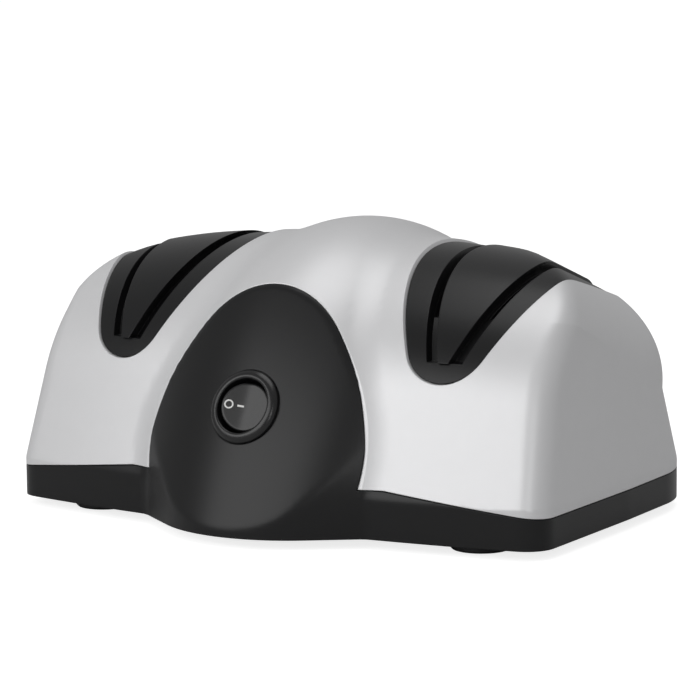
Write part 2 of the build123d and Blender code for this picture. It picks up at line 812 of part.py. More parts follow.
# ---- motor mounts ----
with BuildPart() as motor_mounts:
    with BuildSketch(Plane.XY.offset(mount_bottom)):
        with Locations(*post_places):
            Circle(mount_diameter / 2)
            Circle(screw_diameter / 2, mode=Mode.SUBTRACT)
    extrude(amount=mount_height)
save(motor_mounts.part, "motor_mounts")

mount_screw_seat = shaft_height - leg_drop + bracket_foot_thickness
with BuildPart() as mount_screws:
    with BuildSketch(Plane.XY.offset(floor_top)):
        with Locations(*post_places):
            Circle(screw_diameter / 2)
    extrude(amount=mount_screw_seat - floor_top)
    with BuildSketch(Plane.XY.offset(mount_screw_seat)):
        with Locations(*post_places):
            Circle(screw_head_diameter / 2)
            Rectangle(screw_head_diameter, cross_slot, mode=Mode.SUBTRACT)
    extrude(amount=screw_diameter / 2)
    with BuildSketch(Plane.XY.offset(mount_screw_seat)):
        with Locations(*post_places):
            Circle(screw_head_diameter / 2)
    extrude(amount=cross_slot)
save(mount_screws.part, "mount_screws")

# ---- cooling fan ----
blade_length = (fan_diameter - fan_hub_diameter + fan_blade_thickness) / 2
with BuildPart() as cooling_fan:
    with Locations(motor_plane.offset(-fan_offset)):
        Cylinder(fan_hub_diameter / 2, fan_width)
        with PolarLocations((fan_diameter - blade_length) / 2, fan_blades):
            Box(blade_length, fan_blade_chord, fan_blade_thickness, rotation=(fan_blade_pitch, 0, 0))
        Cylinder(fan_diameter / 2, fan_width, mode=Mode.INTERSECT)
        Cylinder(shaft_diameter / 2, fan_width, mode=Mode.SUBTRACT)
save(cooling_fan.part, "cooling_fan")


# ---- grinding stages ----
def make_disc(stage, facing):
    """Grinding disc: flat toward the middle of its stage, conical on the grinding flank."""
    centre = stage * stage_x
    direction = stage * facing
    bore = shaft_height + hub_diameter / 2
    with BuildPart() as disc:
        with BuildSketch(Plane.XZ.offset(-shaft_y)):
            Polygon(
                (centre + direction * wheel_centre_gap / 2, bore),
                (centre + direction * wheel_root_half_width, bore),
                (centre + direction * wheel_rim_half_width, shaft_height + wheel_radius),
                (centre + direction * wheel_centre_gap / 2, shaft_height + wheel_radius),
                align=None,
            )
        revolve(axis=Axis((0, shaft_y, shaft_height), (1, 0, 0)))
    return disc.part


for stage, grade in ((-1, "coarse"), (1, "fine")):
    with BuildPart() as hub:
        with BuildSketch(motor_plane.offset(stage * (stage_x - hub_length / 2))):
            Circle(hub_diameter / 2)
            Circle(shaft_diameter / 2, mode=Mode.SUBTRACT)
        extrude(amount=stage * hub_length)
        with BuildSketch(motor_plane.offset(stage * (stage_x - hub_length / 2))):
            Circle(hub_diameter / 2 + hub_flange_rise)
            Circle(hub_diameter / 2, mode=Mode.SUBTRACT)
        extrude(amount=stage * hub_flange_width)
    save(hub.part, grade + "_hub")
    save(make_disc(stage, -1), grade + "_disc_inner")
    save(make_disc(stage, 1), grade + "_disc_outer")
    with BuildPart() as nut:
        with BuildSketch(motor_plane.offset(stage * (stage_x + hub_length / 2))):
            RegularPolygon(nut_across_flats / 2, 6, major_radius=False)
            Circle(shaft_diameter / 2, mode=Mode.SUBTRACT)
        extrude(amount=stage * nut_length)
    save(nut.part, grade + "_nut")

# ---- feet and housing screws ----
for side_x, side_y, place in (
    (-1, -1, "front_left"),
    (1, -1, "front_right"),
    (-1, 1, "rear_left"),
    (1, 1, "rear_right"),
):
    foot_x = side_x * foot_offset_x
    foot_y = loaf_y + side_y * foot_offset_y
    with BuildPart() as foot:
        with Locations((foot_x, foot_y, 0)):
            Cylinder(foot_diameter / 2, foot_height, align=outward)
        chamfer(foot.edges().sort_by(Axis.Z)[0], foot_chamfer)
        with Locations((foot_x, foot_y, foot_height)):
            Cylinder(foot_stem_diameter / 2, floor_thickness, align=outward)
    save(foot.part, "foot_" + place)

head_rise = (screw_head_diameter - screw_diameter) / 2 / tan(radians(countersink_angle / 2))
with BuildPart() as housing_screws:
    with Locations(*[(x, y, foot_height) for x, y in screw_places]):
        Cylinder(screw_diameter / 2, screw_length, align=outward)
        Cone(screw_head_diameter / 2, screw_diameter / 2, head_rise, align=outward)
        Box(screw_diameter, cross_slot, 2 * cross_slot, mode=Mode.SUBTRACT)
        Box(cross_slot, screw_diameter, 2 * cross_slot, mode=Mode.SUBTRACT)
save(housing_screws.part, "housing_screws")

# ---- cord gland ----
gland_plane = Plane(origin=(0, rear_wall_y, gland_height), x_dir=(1, 0, 0), z_dir=(0, 1, 0))
with BuildPart() as cord_gland:
    with BuildSketch(gland_plane):
        Circle(gland_flange_diameter / 2)
    extrude(amount=gland_flange_thickness)
    chamfer(cord_gland.edges().filter_by(GeomType.CIRCLE).sort_by(Axis.Y)[-1], gland_flange_thickness / 3)
    with BuildSketch(gland_plane):
        Circle(gland_body_diameter / 2)
    extrude(amount=-gland_inner_length)
    with Locations(gland_plane):
        Cylinder(gland_bore / 2, 2 * gland_inner_length, mode=Mode.SUBTRACT)
save(cord_gland.part, "cord_gland")
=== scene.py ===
import json
import math

import bmesh
import bpy
import numpy as np
from mathutils import Matrix, Vector


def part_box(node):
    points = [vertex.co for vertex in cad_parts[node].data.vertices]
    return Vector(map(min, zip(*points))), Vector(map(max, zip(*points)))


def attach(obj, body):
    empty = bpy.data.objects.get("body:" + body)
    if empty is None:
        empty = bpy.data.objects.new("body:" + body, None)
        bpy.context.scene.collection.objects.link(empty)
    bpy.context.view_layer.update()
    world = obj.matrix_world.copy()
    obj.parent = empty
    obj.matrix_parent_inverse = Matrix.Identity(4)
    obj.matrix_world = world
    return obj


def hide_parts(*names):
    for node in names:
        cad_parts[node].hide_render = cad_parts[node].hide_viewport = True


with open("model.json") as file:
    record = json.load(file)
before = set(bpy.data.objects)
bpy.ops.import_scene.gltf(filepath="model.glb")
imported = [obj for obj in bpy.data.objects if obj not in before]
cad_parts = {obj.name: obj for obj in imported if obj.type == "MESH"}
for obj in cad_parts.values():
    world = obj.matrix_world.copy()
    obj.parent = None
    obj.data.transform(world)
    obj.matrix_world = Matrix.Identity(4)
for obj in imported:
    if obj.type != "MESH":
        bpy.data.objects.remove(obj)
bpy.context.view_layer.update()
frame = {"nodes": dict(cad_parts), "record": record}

# ---- Top shell ----
# Moulded plastic sprayed satin silver, one piece over both stages, screwed on from below. Its
# form is a long loaf joined to a turned hump, each a formula that is negative inside. The shell
# is open under the arch, over the guides and along the bottom.
mm = 0.001
shaft_low, shaft_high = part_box("motor_shaft")
shell_low, shell_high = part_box("top_shell")
loaf_y = (shaft_low.y + shaft_high.y) / 2
half_length = shell_high.x
bottom_z = shell_low.z
loaf_radius = 58.8 * mm
loaf_axis_z = 27 * mm
crown_radius = 500 * mm
wall_lean = math.radians(17.5)
knee_z = 15 * mm
end_lean = math.radians(5)
end_slope = math.radians(68)
end_round = 34.5 * mm
end_round_z = 47.5 * mm
end_rear_fall = 0.34
end_front_bulge = 1.4
end_round_x = half_length - (end_round_z - knee_z) * math.tan(end_lean)
end_round_x -= end_round / math.cos(end_lean)
front_corner_radius = 9 * mm
rear_corner_radius = 36 * mm
corner_blend = 0.3 * loaf_radius
largest_share = 0.97
hump_axis_z = 8.5 * mm
hump_radius = shell_high.z - hump_axis_z
hump_section_radius = 42 * mm
hump_arc_half_width = 24 * mm
hump_slope = hump_arc_half_width / math.sqrt(hump_section_radius**2 - hump_arc_half_width**2)
hump_rear_reach = shell_high.y - loaf_y
hump_rear_round = 5 * mm
hump_half_width = 50 * mm
crease_radius = 2.6 * mm
crease_fade = 0.9
crease_fade_from = 0.2 * loaf_radius
crease_fade_to = 0.7 * loaf_radius


def round_cut(a, b, radius, share=0.0):
    """Space inside both skins, their edge rounded; share is the cosine between their normals."""
    u = a + radius
    v = b + radius
    both = np.sqrt(np.maximum(u * u + v * v - 2 * share * u * v, 0) / (1 - share * share)) - radius
    return np.where((u > share * v) & (v > share * u), both, np.maximum(a, b))


def round_join(a, b, radius):
    """Space inside either skin, with the crease where they meet filled."""
    return -round_cut(-a, -b, radius)


def smooth_step(value, start, stop):
    """Ease from 0 at start to 1 at stop."""
    share = np.clip((value - start) / (stop - start), 0, 1)
    return share * share * (3 - 2 * share)


def loaf_gap(x, y, z):
    """Signed gap to the loaf: leaning walls under a barrel, and ends that fall to the rear."""
    radius = loaf_radius - crown_radius + np.sqrt(crown_radius**2 - x**2)
    out = np.abs(y - loaf_y)
    up = np.maximum(z, knee_z) - loaf_axis_z
    wall = (out - radius / math.cos(wall_lean) + up * math.tan(wall_lean)) * math.cos(wall_lean)
    reach = np.maximum(np.hypot(out, up), mm)
    on_barrel = up > out * math.tan(wall_lean)
    side = np.where(on_barrel, reach - radius, wall)
    side_out = np.where(on_barrel, out / reach, math.cos(wall_lean))
    side_up = np.where(on_barrel, up / reach, math.sin(wall_lean))
    bulge = np.where(y < loaf_y, end_front_bulge, 0)
    along = np.abs(x) - end_round_x
    above = np.maximum(z, knee_z) + bulge * out**2 + end_rear_fall * (y - loaf_y) - end_round_z
    angle = np.clip(np.arctan2(above, along), end_lean, end_slope)
    across = np.sin(angle) * (end_rear_fall * np.sign(y - loaf_y) + 2 * bulge * out)
    unit = np.sqrt(1 + across**2)
    end = (along * np.cos(angle) + above * np.sin(angle) - end_round) / unit
    face = (np.abs(x) - half_length) * math.cos(end_lean)
    face = face + (np.maximum(z, knee_z) - knee_z) * math.sin(end_lean)
    end = np.maximum(end, face)
    share = side_out * across + side_up * np.sin(angle)
    share = (share + np.abs(x) / crown_radius * np.cos(angle)) / unit
    rearward = smooth_step(y - loaf_y, -corner_blend, corner_blend)
    rounding = front_corner_radius + (rear_corner_radius - front_corner_radius) * rearward
    return round_cut(side, end, rounding, np.clip(share, 0, largest_share))


def hump_gap(x, y, z):
    """Signed gap to the hump, flat and leaning at the rear."""
    out = np.abs(x)
    edge = np.minimum(out, hump_arc_half_width)
    crest = hump_radius - hump_section_radius + np.sqrt(hump_section_radius**2 - edge**2)
    crest = crest - (out - edge) * hump_slope
    rate = edge / np.sqrt(hump_section_radius**2 - edge**2)
    back = y - loaf_y
    up = np.maximum(z - hump_axis_z, 0)
    reach = np.maximum(np.hypot(back, up), mm)
    dome = (reach - crest) / np.sqrt(1 + rate**2)
    rear = (back - hump_rear_reach) * math.cos(wall_lean)
    rear = rear + (np.maximum(z, knee_z) - knee_z) * math.sin(wall_lean)
    share = (back * math.cos(wall_lean) + up * math.sin(wall_lean)) / reach
    both = round_cut(dome, rear, hump_rear_round, np.clip(share, 0, largest_share))
    return np.maximum(both, out - hump_half_width)


def shell_gap(x, y, z):
    """Signed gap to the silver form: the loaf and hump joined by a soft crease."""
    fade = 1 - crease_fade * smooth_step(y - loaf_y, crease_fade_from, crease_fade_to)
    return round_join(loaf_gap(x, y, z), hump_gap(x, y, z), crease_radius * fade)


arch_head = Vector((0, loaf_y - 47.8 * mm, 75.2 * mm))
block_reach = np.array([1.1 * half_length, 1.4 * loaf_radius, 0.62 * shell_high.z])
block_middle = np.array([0, loaf_y, 0.45 * shell_high.z])
core_length = 0.55
core_height = 0.3 * shell_high.z
far_share = 1.6
halvings = 34


def formed_block(name, gap, inset, cuts):
    """Closed mesh object whose points slide from a core line onto a skin moved inward by inset."""
    bm = bmesh.new()
    bmesh.ops.create_cube(bm, size=2)
    bmesh.ops.subdivide_edges(bm, edges=bm.edges, cuts=cuts, use_grid_fill=True)
    corner = np.array([vert.co for vert in bm.verts])
    target = corner * block_reach + block_middle
    core = np.empty_like(target)
    core[:, 0] = core_length * target[:, 0]
    core[:, 1] = loaf_y
    core[:, 2] = core_height
    near = np.zeros(len(target))
    far = np.full(len(target), far_share)
    for _ in range(halvings):
        share = (near + far) / 2
        place = core + (target - core) * share[:, None]
        outside = gap(*place.T) + inset > 0
        far = np.where(outside, share, far)
        near = np.where(outside, near, share)
    for vert, place in zip(bm.verts, core + (target - core) * near[:, None]):
        vert.co = place
    return mesh_object(name, bm)


def mesh_object(name, bm):
    """Object at the origin that holds a finished bmesh."""
    mesh = bpy.data.meshes.new(name)
    bm.to_mesh(mesh)
    bm.free()
    piece = bpy.data.objects.new(name, mesh)
    bpy.context.scene.collection.objects.link(piece)
    return piece


def prism(name, outline, start, stop, along):
    """Closed block: an outline in the plane across one axis, drawn out from start to stop."""
    bm = bmesh.new()
    axis = "xyz".index(along)
    verts = []
    for a, b in outline:
        place = [a, b]
        place.insert(axis, start)
        verts.append(bm.verts.new(place))
    travel = [0, 0, 0]
    travel[axis] = stop - start
    drawn = bmesh.ops.extrude_face_region(bm, geom=[bm.faces.new(verts)])["geom"]
    moved = [item for item in drawn if isinstance(item, bmesh.types.BMVert)]
    bmesh.ops.translate(bm, vec=travel, verts=moved)
    bmesh.ops.recalc_face_normals(bm, faces=bm.faces)
    return mesh_object(name, bm)


join_distance = 0.001 * mm


def turned(profile, steps):
    """Bmesh turned about Z, from (radius, height) points: a loop, or ends that lie on Z."""
    bm = bmesh.new()
    verts = [bm.verts.new((radius, 0, height)) for radius, height in profile]
    edges = [bm.edges.new(pair) for pair in zip(verts, verts[1:])]
    turn = {"cent": (0, 0, 0), "axis": (0, 0, 1), "angle": 2 * math.pi, "steps": steps}
    bmesh.ops.spin(bm, geom=verts + edges, use_merge=True, **turn)
    bmesh.ops.remove_doubles(bm, verts=bm.verts, dist=join_distance)
    bmesh.ops.recalc_face_normals(bm, faces=bm.faces)
    return bm


def lathe(name, profile, place, axis, steps=96):
    """Closed solid turned about an axis through a place."""
    bm = turned(profile, steps)
    stand = Vector((0, 0, 1)).rotation_difference(axis).to_matrix().to_4x4()
    bmesh.ops.transform(bm, matrix=Matrix.Translation(place) @ stand, verts=bm.verts)
    return mesh_object(name, bm)


def carve(piece, tool, operation="DIFFERENCE"):
    """Cut, join or cross one closed piece with another."""
    step = piece.modifiers.new("carve", "BOOLEAN")
    step.operation = operation
    step.solver = "EXACT"
    step.object = tool
    graph = bpy.context.evaluated_depsgraph_get()
    mesh = bpy.data.meshes.new_from_object(piece.evaluated_get(graph))
    piece.modifiers.clear()
    piece.data = mesh
    bpy.data.objects.remove(tool)


slope_step = 0.1 * mm
slope_match = 0.85


def shade(piece, gap=None, sharp_angle=32):
    """Smooth shading that breaks at real edges, and follows a skin's slope where one is given."""
    mesh = piece.data
    mesh.polygons.foreach_set("use_smooth", [True] * len(mesh.polygons))
    mesh.set_sharp_from_angle(angle=math.radians(sharp_angle))
    mesh.update()
    if gap is None:
        return
    places = np.empty(len(mesh.vertices) * 3)
    mesh.vertices.foreach_get("co", places)
    places = places.reshape(-1, 3)
    slope = np.zeros_like(places)
    for axis in range(3):
        step = np.zeros(3)
        step[axis] = slope_step
        slope[:, axis] = gap(*(places + step).T) - gap(*(places - step).T)
    slope /= np.maximum(np.linalg.norm(slope, axis=1), 1e-12)[:, None]
    on_skin = np.abs(gap(*places.T)) < mm
    normals = np.empty(len(mesh.loops) * 3)
    mesh.corner_normals.foreach_get("vector", normals)
    normals = normals.reshape(-1, 3)
    for face in mesh.polygons:
        verts = list(face.vertices)
        if on_skin[verts].all() and (slope[verts] @ np.array(face.normal)).min() > slope_match:
            normals[list(face.loop_indices)] = slope[verts]
    mesh.normals_split_custom_set(normals.tolist())


edge_rounding = 0.35 * mm


def finish(name, colour, roughness, grain_scale, grain_depth, metallic=0.0, tone=0.06, sheen=0.5):
    """Procedural material: base colour with slight mottling, grain bump and softened edges."""
    material = bpy.data.materials.new(name)
    material.use_nodes = True
    nodes = material.node_tree.nodes
    links = material.node_tree.links
    shader = nodes["Principled BSDF"]
    shader.inputs["Metallic"].default_value = metallic
    shader.inputs["Specular IOR Level"].default_value = sheen
    place = nodes.new("ShaderNodeTexCoord")
    grain = nodes.new("ShaderNodeTexNoise")
    grain.inputs["Scale"].default_value = grain_scale
    grain.inputs["Detail"].default_value = 4
    cloud = nodes.new("ShaderNodeTexNoise")
    cloud.inputs["Scale"].default_value = grain_scale / 40
    cloud.inputs["Detail"].default_value = 3
    links.new(place.outputs["Object"], grain.inputs["Vector"])
    links.new(place.outputs["Object"], cloud.inputs["Vector"])
    tint = nodes.new("ShaderNodeMix")
    tint.data_type = "RGBA"
    tint.inputs["A"].default_value = (*[channel * (1 - tone) for channel in colour], 1)
    tint.inputs["B"].default_value = (*[min(channel * (1 + tone), 1) for channel in colour], 1)
    links.new(cloud.outputs["Fac"], tint.inputs["Factor"])
    links.new(tint.outputs["Result"], shader.inputs["Base Color"])
    rough = nodes.new("ShaderNodeMapRange")
    rough.inputs["To Min"].default_value = roughness * 0.88
    rough.inputs["To Max"].default_value = min(roughness * 1.12, 1)
    links.new(grain.outputs["Fac"], rough.inputs["Value"])
    links.new(rough.outputs["Result"], shader.inputs["Roughness"])
    soft = nodes.new("ShaderNodeBevel")
    soft.samples = 6
    soft.inputs["Radius"].default_value = edge_rounding
    bump = nodes.new("ShaderNodeBump")
    bump.inputs["Strength"].default_value = 1
    bump.inputs["Distance"].default_value = grain_depth
    links.new(grain.outputs["Fac"], bump.inputs["Height"])
    links.new(soft.outputs["Normal"], bump.inputs["Normal"])
    links.new(bump.outputs["Normal"], shader.inputs["Normal"])
    return material


def dress(piece, material):
    """Give a piece one material in place of any that it has."""
    piece.data.materials.clear()
    piece.data.materials.append(material)


def settle(piece, material, body, slot, *nodes):
    """Give a made piece its finish and its body, and hide the CAD nodes that it stands for; slot is
    not used.
    """
    dress(piece, material)
    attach(piece, body)
    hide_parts(*nodes)


seam_gap = 0.3 * mm
wall = 2.5 * mm
seam_front_z = 17.5 * mm
seam_end_z = 12 * mm
seam_flat = 45 * mm
seam_overrun = 3 * mm
seam_reach = half_length + seam_overrun
seam_fall = (seam_front_z - seam_end_z) * seam_overrun / (half_length - seam_flat)
seam_low_z = seam_end_z - seam_fall
skirt_rear_y = loaf_y + 45 * mm
arch_lean = math.radians(16)
beyond = 1.6 * half_length
stage_x = (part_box("fine_hub")[0].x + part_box("fine_hub")[1].x) / 2
tongue_radius = 13.5 * mm
tongue_axis_z = 62 * mm
tongue_flare = math.radians(27)
tongue_steps = 28
form_top = shell_high.z + 5 * mm


def skirt_outline(gap):
    """Outline of the space under the seam, in X and Z."""
    return [
        (-beyond, -beyond),
        (beyond, -beyond),
        (beyond, seam_low_z + gap),
        (seam_reach, seam_low_z + gap),
        (seam_flat, seam_front_z + gap),
        (-seam_flat, seam_front_z + gap),
        (-seam_reach, seam_low_z + gap),
        (-beyond, seam_low_z + gap),
    ]


def arch_outline(gap, low):
    """Outline of the space in front of the arch plane, in Y and Z."""
    shift = gap / math.cos(arch_lean)
    plane_y = arch_head.y - shift
    return [
        (plane_y - (arch_head.z - low) * math.tan(arch_lean), low),
        (plane_y + (form_top - arch_head.z) * math.tan(arch_lean), form_top),
        (-beyond, form_top),
        (-beyond, low),
    ]


def tongue_outline(side, growth):
    """Outline of a guide in X and Z: a round tip with flanks that open upward."""
    radius = tongue_radius + growth
    arc = math.pi / 2 - tongue_flare
    points = []
    for step in range(tongue_steps + 1):
        angle = -math.pi / 2 - arc + 2 * arc * step / tongue_steps
        across = side * stage_x + radius * math.cos(angle)
        points.append((across, tongue_axis_z + radius * math.sin(angle)))
    rise = form_top - points[-1][1]
    spread = rise * math.tan(tongue_flare)
    points.append((points[-1][0] + spread, form_top))
    points.insert(0, (points[0][0] - spread, form_top))
    return points


skin_cuts = 90
hollow_cuts = 40
floor_top = bottom_z + wall
flank_step = 0.05 * mm
gland_hole_radius = 4.2 * mm
top_shell = formed_block("top_shell_skin", shell_gap, 0, skin_cuts)
carve(top_shell, prism("arch_space", arch_outline(0, -beyond), -beyond, beyond, "x"))
skirt_space = prism("skirt_space", skirt_outline(seam_gap), -beyond, skirt_rear_y + seam_gap, "y")
carve(top_shell, skirt_space)
under_outline = [(-beyond, -beyond), (beyond, -beyond), (beyond, bottom_z), (-beyond, bottom_z)]
carve(top_shell, prism("under_shell", under_outline, -beyond, beyond, "y"))
for side in (-1, 1):
    carve(top_shell, prism("tongue_space", tongue_outline(side, 0), -beyond, beyond, "y"))
carve(top_shell, formed_block("shell_hollow", shell_gap, wall, hollow_cuts))
gland_low, gland_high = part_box("cord_gland")
gland_place = Vector((0, loaf_y, (gland_low.z + gland_high.z) / 2))
gland_hole = [(0, 0), (gland_hole_radius, 0), (gland_hole_radius, half_length), (0, half_length)]
carve(top_shell, lathe("gland_hole", gland_hole, gland_place, Vector((0, 1, 0)), 48))
shade(top_shell, shell_gap)
silver_look = {"metallic": 0.3, "tone": 0.015}
silver = finish("satin_silver_paint", (0.74, 0.74, 0.75), 0.42, 9000, 0.003 * mm, **silver_look)
settle(top_shell, silver, "housing", "silver_paint", "top_shell")

# ---- Black housing ----
# Moulded black plastic: floor, skirt under the seam and arched panel in one piece, hollow above
# the floor. The panel has a seat and a hole for the switch, and the floor has screw recesses.
housing_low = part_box("base_housing")[0]
panel_crease_radius = 0.8 * mm
panel_proud = 0.8 * mm
panel_foot = Vector((0, housing_low.y, bottom_z))
panel_head = arch_head - Vector((0, panel_proud, 0))
panel_bow = 2.3 * mm
panel_section_radius = 60 * mm
panel_chord = panel_head - panel_foot
panel_lean = math.atan2(panel_chord.y, panel_chord.z)
panel_up = panel_chord.normalized()
panel_out = Vector((0, -panel_up.z, panel_up.y))
panel_flare = math.radians(16)
spine = Vector((0, math.sin(panel_lean + panel_flare), math.cos(panel_lean + panel_flare)))
spine_foot = panel_foot + Vector((0, spine.z, -spine.y)) * panel_section_radius
switch_place = (panel_foot + panel_head) / 2 + panel_out * panel_bow


def panel_gap(x, y, z):
    """Signed gap to the bulging panel: a bowed line turned about a spine that leans back."""
    half = panel_chord.length / 2
    bend = (half**2 + panel_bow**2) / (2 * panel_bow)
    centre = switch_place - panel_out * bend
    centre_along = (centre - spine_foot).dot(spine)
    centre_off = (centre - spine_foot).dot(Vector((0, -spine.z, spine.y)))
    along = (y - spine_foot.y) * spine.y + (z - spine_foot.z) * spine.z
    off = (y - spine_foot.y) * spine.z - (z - spine_foot.z) * spine.y
    bowed = centre_off + np.sqrt(np.maximum(bend**2 - (along - centre_along) ** 2, 0))
    return np.hypot(x, off) - bowed


def housing_gap(x, y, z):
    """Signed gap to the black form: the loaf's lower wall joined to the panel."""
    bulge = np.maximum(hump_gap(x, y, z), panel_gap(x, y, z))
    return round_join(loaf_gap(x, y, z), bulge, panel_crease_radius)


rear_floor_gap = 0.2 * mm
screw_x = 81 * mm
screw_y = 34 * mm
base_housing = formed_block("base_housing_skin", housing_gap, 0, skin_cuts)
lower = prism("skirt_zone", skirt_outline(0), -beyond, skirt_rear_y, "y")
carve(lower, prism("arch_zone", arch_outline(seam_gap, knee_z), -beyond, beyond, "x"), "UNION")
carve(base_housing, lower, "INTERSECT")
carve(base_housing, prism("under_housing", under_outline, -beyond, beyond, "y"))
housing_hollow = formed_block("housing_hollow", housing_gap, wall, hollow_cuts)
above_outline = [(-beyond, floor_top), (beyond, floor_top), (beyond, form_top), (-beyond, form_top)]
carve(housing_hollow, prism("above_floor", above_outline, -beyond, beyond, "y"), "INTERSECT")
carve(base_housing, housing_hollow)
rear_floor = formed_block("rear_floor", shell_gap, wall + rear_floor_gap, hollow_cuts)
slab_low = bottom_z + flank_step
slab_high = floor_top - flank_step
slab_outline = [(-beyond, slab_low), (beyond, slab_low), (beyond, slab_high), (-beyond, slab_high)]
slab_start = skirt_rear_y - mm
carve(rear_floor, prism("floor_slab", slab_outline, slab_start, beyond, "y"), "INTERSECT")
carve(base_housing, rear_floor, "UNION")
seat_profile = [(0, -0.9), (11.7, -0.9), (11.7, 12), (0, 12)]
hole_profile = [(0, -8), (10.1, -8), (10.1, 8), (0, 8)]
for name, profile in (("bezel_seat", seat_profile), ("switch_hole", hole_profile)):
    cutter = lathe(name, [(r * mm, h * mm) for r, h in profile], switch_place, panel_out)
    carve(base_housing, cutter)
recess_profile = [(0, -0.6), (3.75, -0.6), (1.5, 1.9), (1.5, 4), (0, 4)]
screw_recess = [(r * mm, h * mm) for r, h in recess_profile]
for x in (-screw_x, screw_x):
    for y in (-screw_y, screw_y):
        recess_place = Vector((x, loaf_y + y, bottom_z))
        cutter = lathe("screw_recess", screw_recess, recess_place, Vector((0, 0, 1)), 32)
        carve(base_housing, cutter)
shade(base_housing)
black_look = {"tone": 0.05, "sheen": 0.34}
black = finish(
    "black_moulded_plastic", (0.006, 0.006, 0.0065), 0.31, 5200, 0.010 * mm, **black_look
)
settle(base_housing, black, "housing", "black_housing", "base_housing")

# ---- Slotted guides ----
# A black insert fills each tongue. A wedge stands a little proud between two shallow grooves that
# lean apart, and further up each groove a slit on its outer side goes through to the wheel.
wedge_root_half = 2.2 * mm
slot_tilt = math.radians(20.5)
slot_root_z = 56 * mm
slot_end_z = 54.5 * mm
slot_width = 3.9 * mm
slit_width = 2.6 * mm
slit_start_z = 66 * mm
groove_depth = 3.6 * mm
guide_sink = 0.8 * mm
guide_thickness = 6 * mm
guide_cuts = 64


def wedge_half(z):
    """Half of the wedge's width at a height."""
    return wedge_root_half + (z - slot_root_z) * math.tan(slot_tilt)


def slot_outline(side, lean, inner, outer, start_z):
    """Outline of a slot in X and Z, between two offsets from the wedge flank."""
    corners = [(inner, start_z), (outer, start_z), (outer, form_top), (inner, form_top)]
    return [(side * stage_x + lean * (wedge_half(z) + offset), z) for offset, z in corners]


for side, node in ((-1, "guide_insert_left"), (1, "guide_insert_right")):
    guide = formed_block(node + "_skin", loaf_gap, guide_sink, guide_cuts)
    tongue = prism("tongue_block", tongue_outline(side, -seam_gap), -beyond, beyond, "y")
    carve(guide, tongue, "INTERSECT")
    carve(guide, formed_block("guide_layer", loaf_gap, guide_thickness, hollow_cuts))
    for lean in (-1, 1):
        groove_outline = slot_outline(side, lean, 0, slot_width, slot_end_z)
        groove = prism("groove", groove_outline, -beyond, beyond, "y")
        carve(groove, formed_block("groove_floor", loaf_gap, groove_depth, hollow_cuts))
        carve(guide, groove)
        slit_inner = slot_width - slit_width
        slit = slot_outline(side, lean, slit_inner, slot_width - flank_step, slit_start_z)
        carve(guide, prism("slit", slit, -beyond, beyond, "y"))
    wedge = formed_block("wedge", loaf_gap, 0, guide_cuts)
    corners = [(-1, slot_end_z), (1, slot_end_z), (1, form_top), (-1, form_top)]
    flanks = [(side * stage_x + lean * (wedge_half(z) - flank_step), z) for lean, z in corners]
    carve(wedge, prism("wedge_flanks", flanks, -beyond, beyond, "y"), "INTERSECT")
    carve(wedge, formed_block("wedge_root", loaf_gap, groove_depth, hollow_cuts))
    carve(guide, wedge, "UNION")
    shade(guide, loaf_gap)
    settle(guide, black, "housing", "black_housing", node)

# ---- Rocker switch ----
# A domed round bezel seats in the panel, and its cup carries a round rocker. Two flat halves meet
# in a soft valley across the middle, and the left half stands up with the two white marks.
switch_black = finish("switch_nylon", (0.007, 0.007, 0.0075), 0.24, 5200, 0.003 * mm)
cup_outside = [(0, -14.9), (10, -14.9), (10, -0.9), (11.5, -0.9)]
bezel_dome = [(11.5, 0.1), (11.36, 0.45), (11.0, 0.85), (10.5, 1.22), (9.9, 1.5)]
bezel_dome += [(9.3, 1.6), (8.85, 1.52), (8.6, 1.3), (8.5, 0.95)]
cup_inside = [(8.5, -11), (0, -11)]
bezel = [(r * mm, h * mm) for r, h in cup_outside + bezel_dome + cup_inside]
switch_body = lathe("switch_bezel", bezel, switch_place, panel_out)
shade(switch_body, sharp_angle=40)
settle(switch_body, switch_black, "housing", "switch_black", "switch_body")

rocker_tilt = math.radians(11)
rocker_radius = 7.6 * mm
rocker_rise = 2.77 * mm
rocker_drop = 3 * mm
pivot_depth = 3 * mm
foot_share = 0.5
valley_half = 0.8 * mm
rim_round = 0.7 * mm
rocker_rings = 26
rocker_steps = 120
mark_proud = 0.04 * mm
mark_sink = 0.2 * mm
ring_u = -5.3 * mm
ring_outer = 1.4 * mm
ring_inner = 0.95 * mm
bar_u = -1.7 * mm
bar_half_length = 1.0 * mm
bar_half_width = 0.3 * mm
ring_steps = 48
tilted_x = Vector((math.cos(rocker_tilt), 0, 0)) - panel_out * math.sin(rocker_tilt)
tilted_z = Vector((math.sin(rocker_tilt), 0, 0)) + panel_out * math.cos(rocker_tilt)
rocker_frame = Matrix((tilted_x, panel_up, tilted_z)).transposed().to_4x4()
rocker_place = Matrix.Translation(switch_place - panel_out * pivot_depth) @ rocker_frame


def face_height(u, radius):
    """Height of the rocker's face above its pivot: two slopes, a soft valley and a round rim."""
    into = min(max(rim_round - (rocker_radius - radius), 0), rim_round)
    edge_drop = rim_round - math.sqrt(rim_round**2 - into**2)
    slope_rise = (math.hypot(u, valley_half) - valley_half) * math.tan(rocker_tilt)
    return rocker_rise + slope_rise - edge_drop


def lay_on_face(bm):
    """Lift points by the height of the rocker's face under them, and set them in the bezel."""
    for vert in bm.verts:
        vert.co.z += face_height(vert.co.x, math.hypot(vert.co.x, vert.co.y))
    bmesh.ops.transform(bm, matrix=rocker_place, verts=bm.verts)


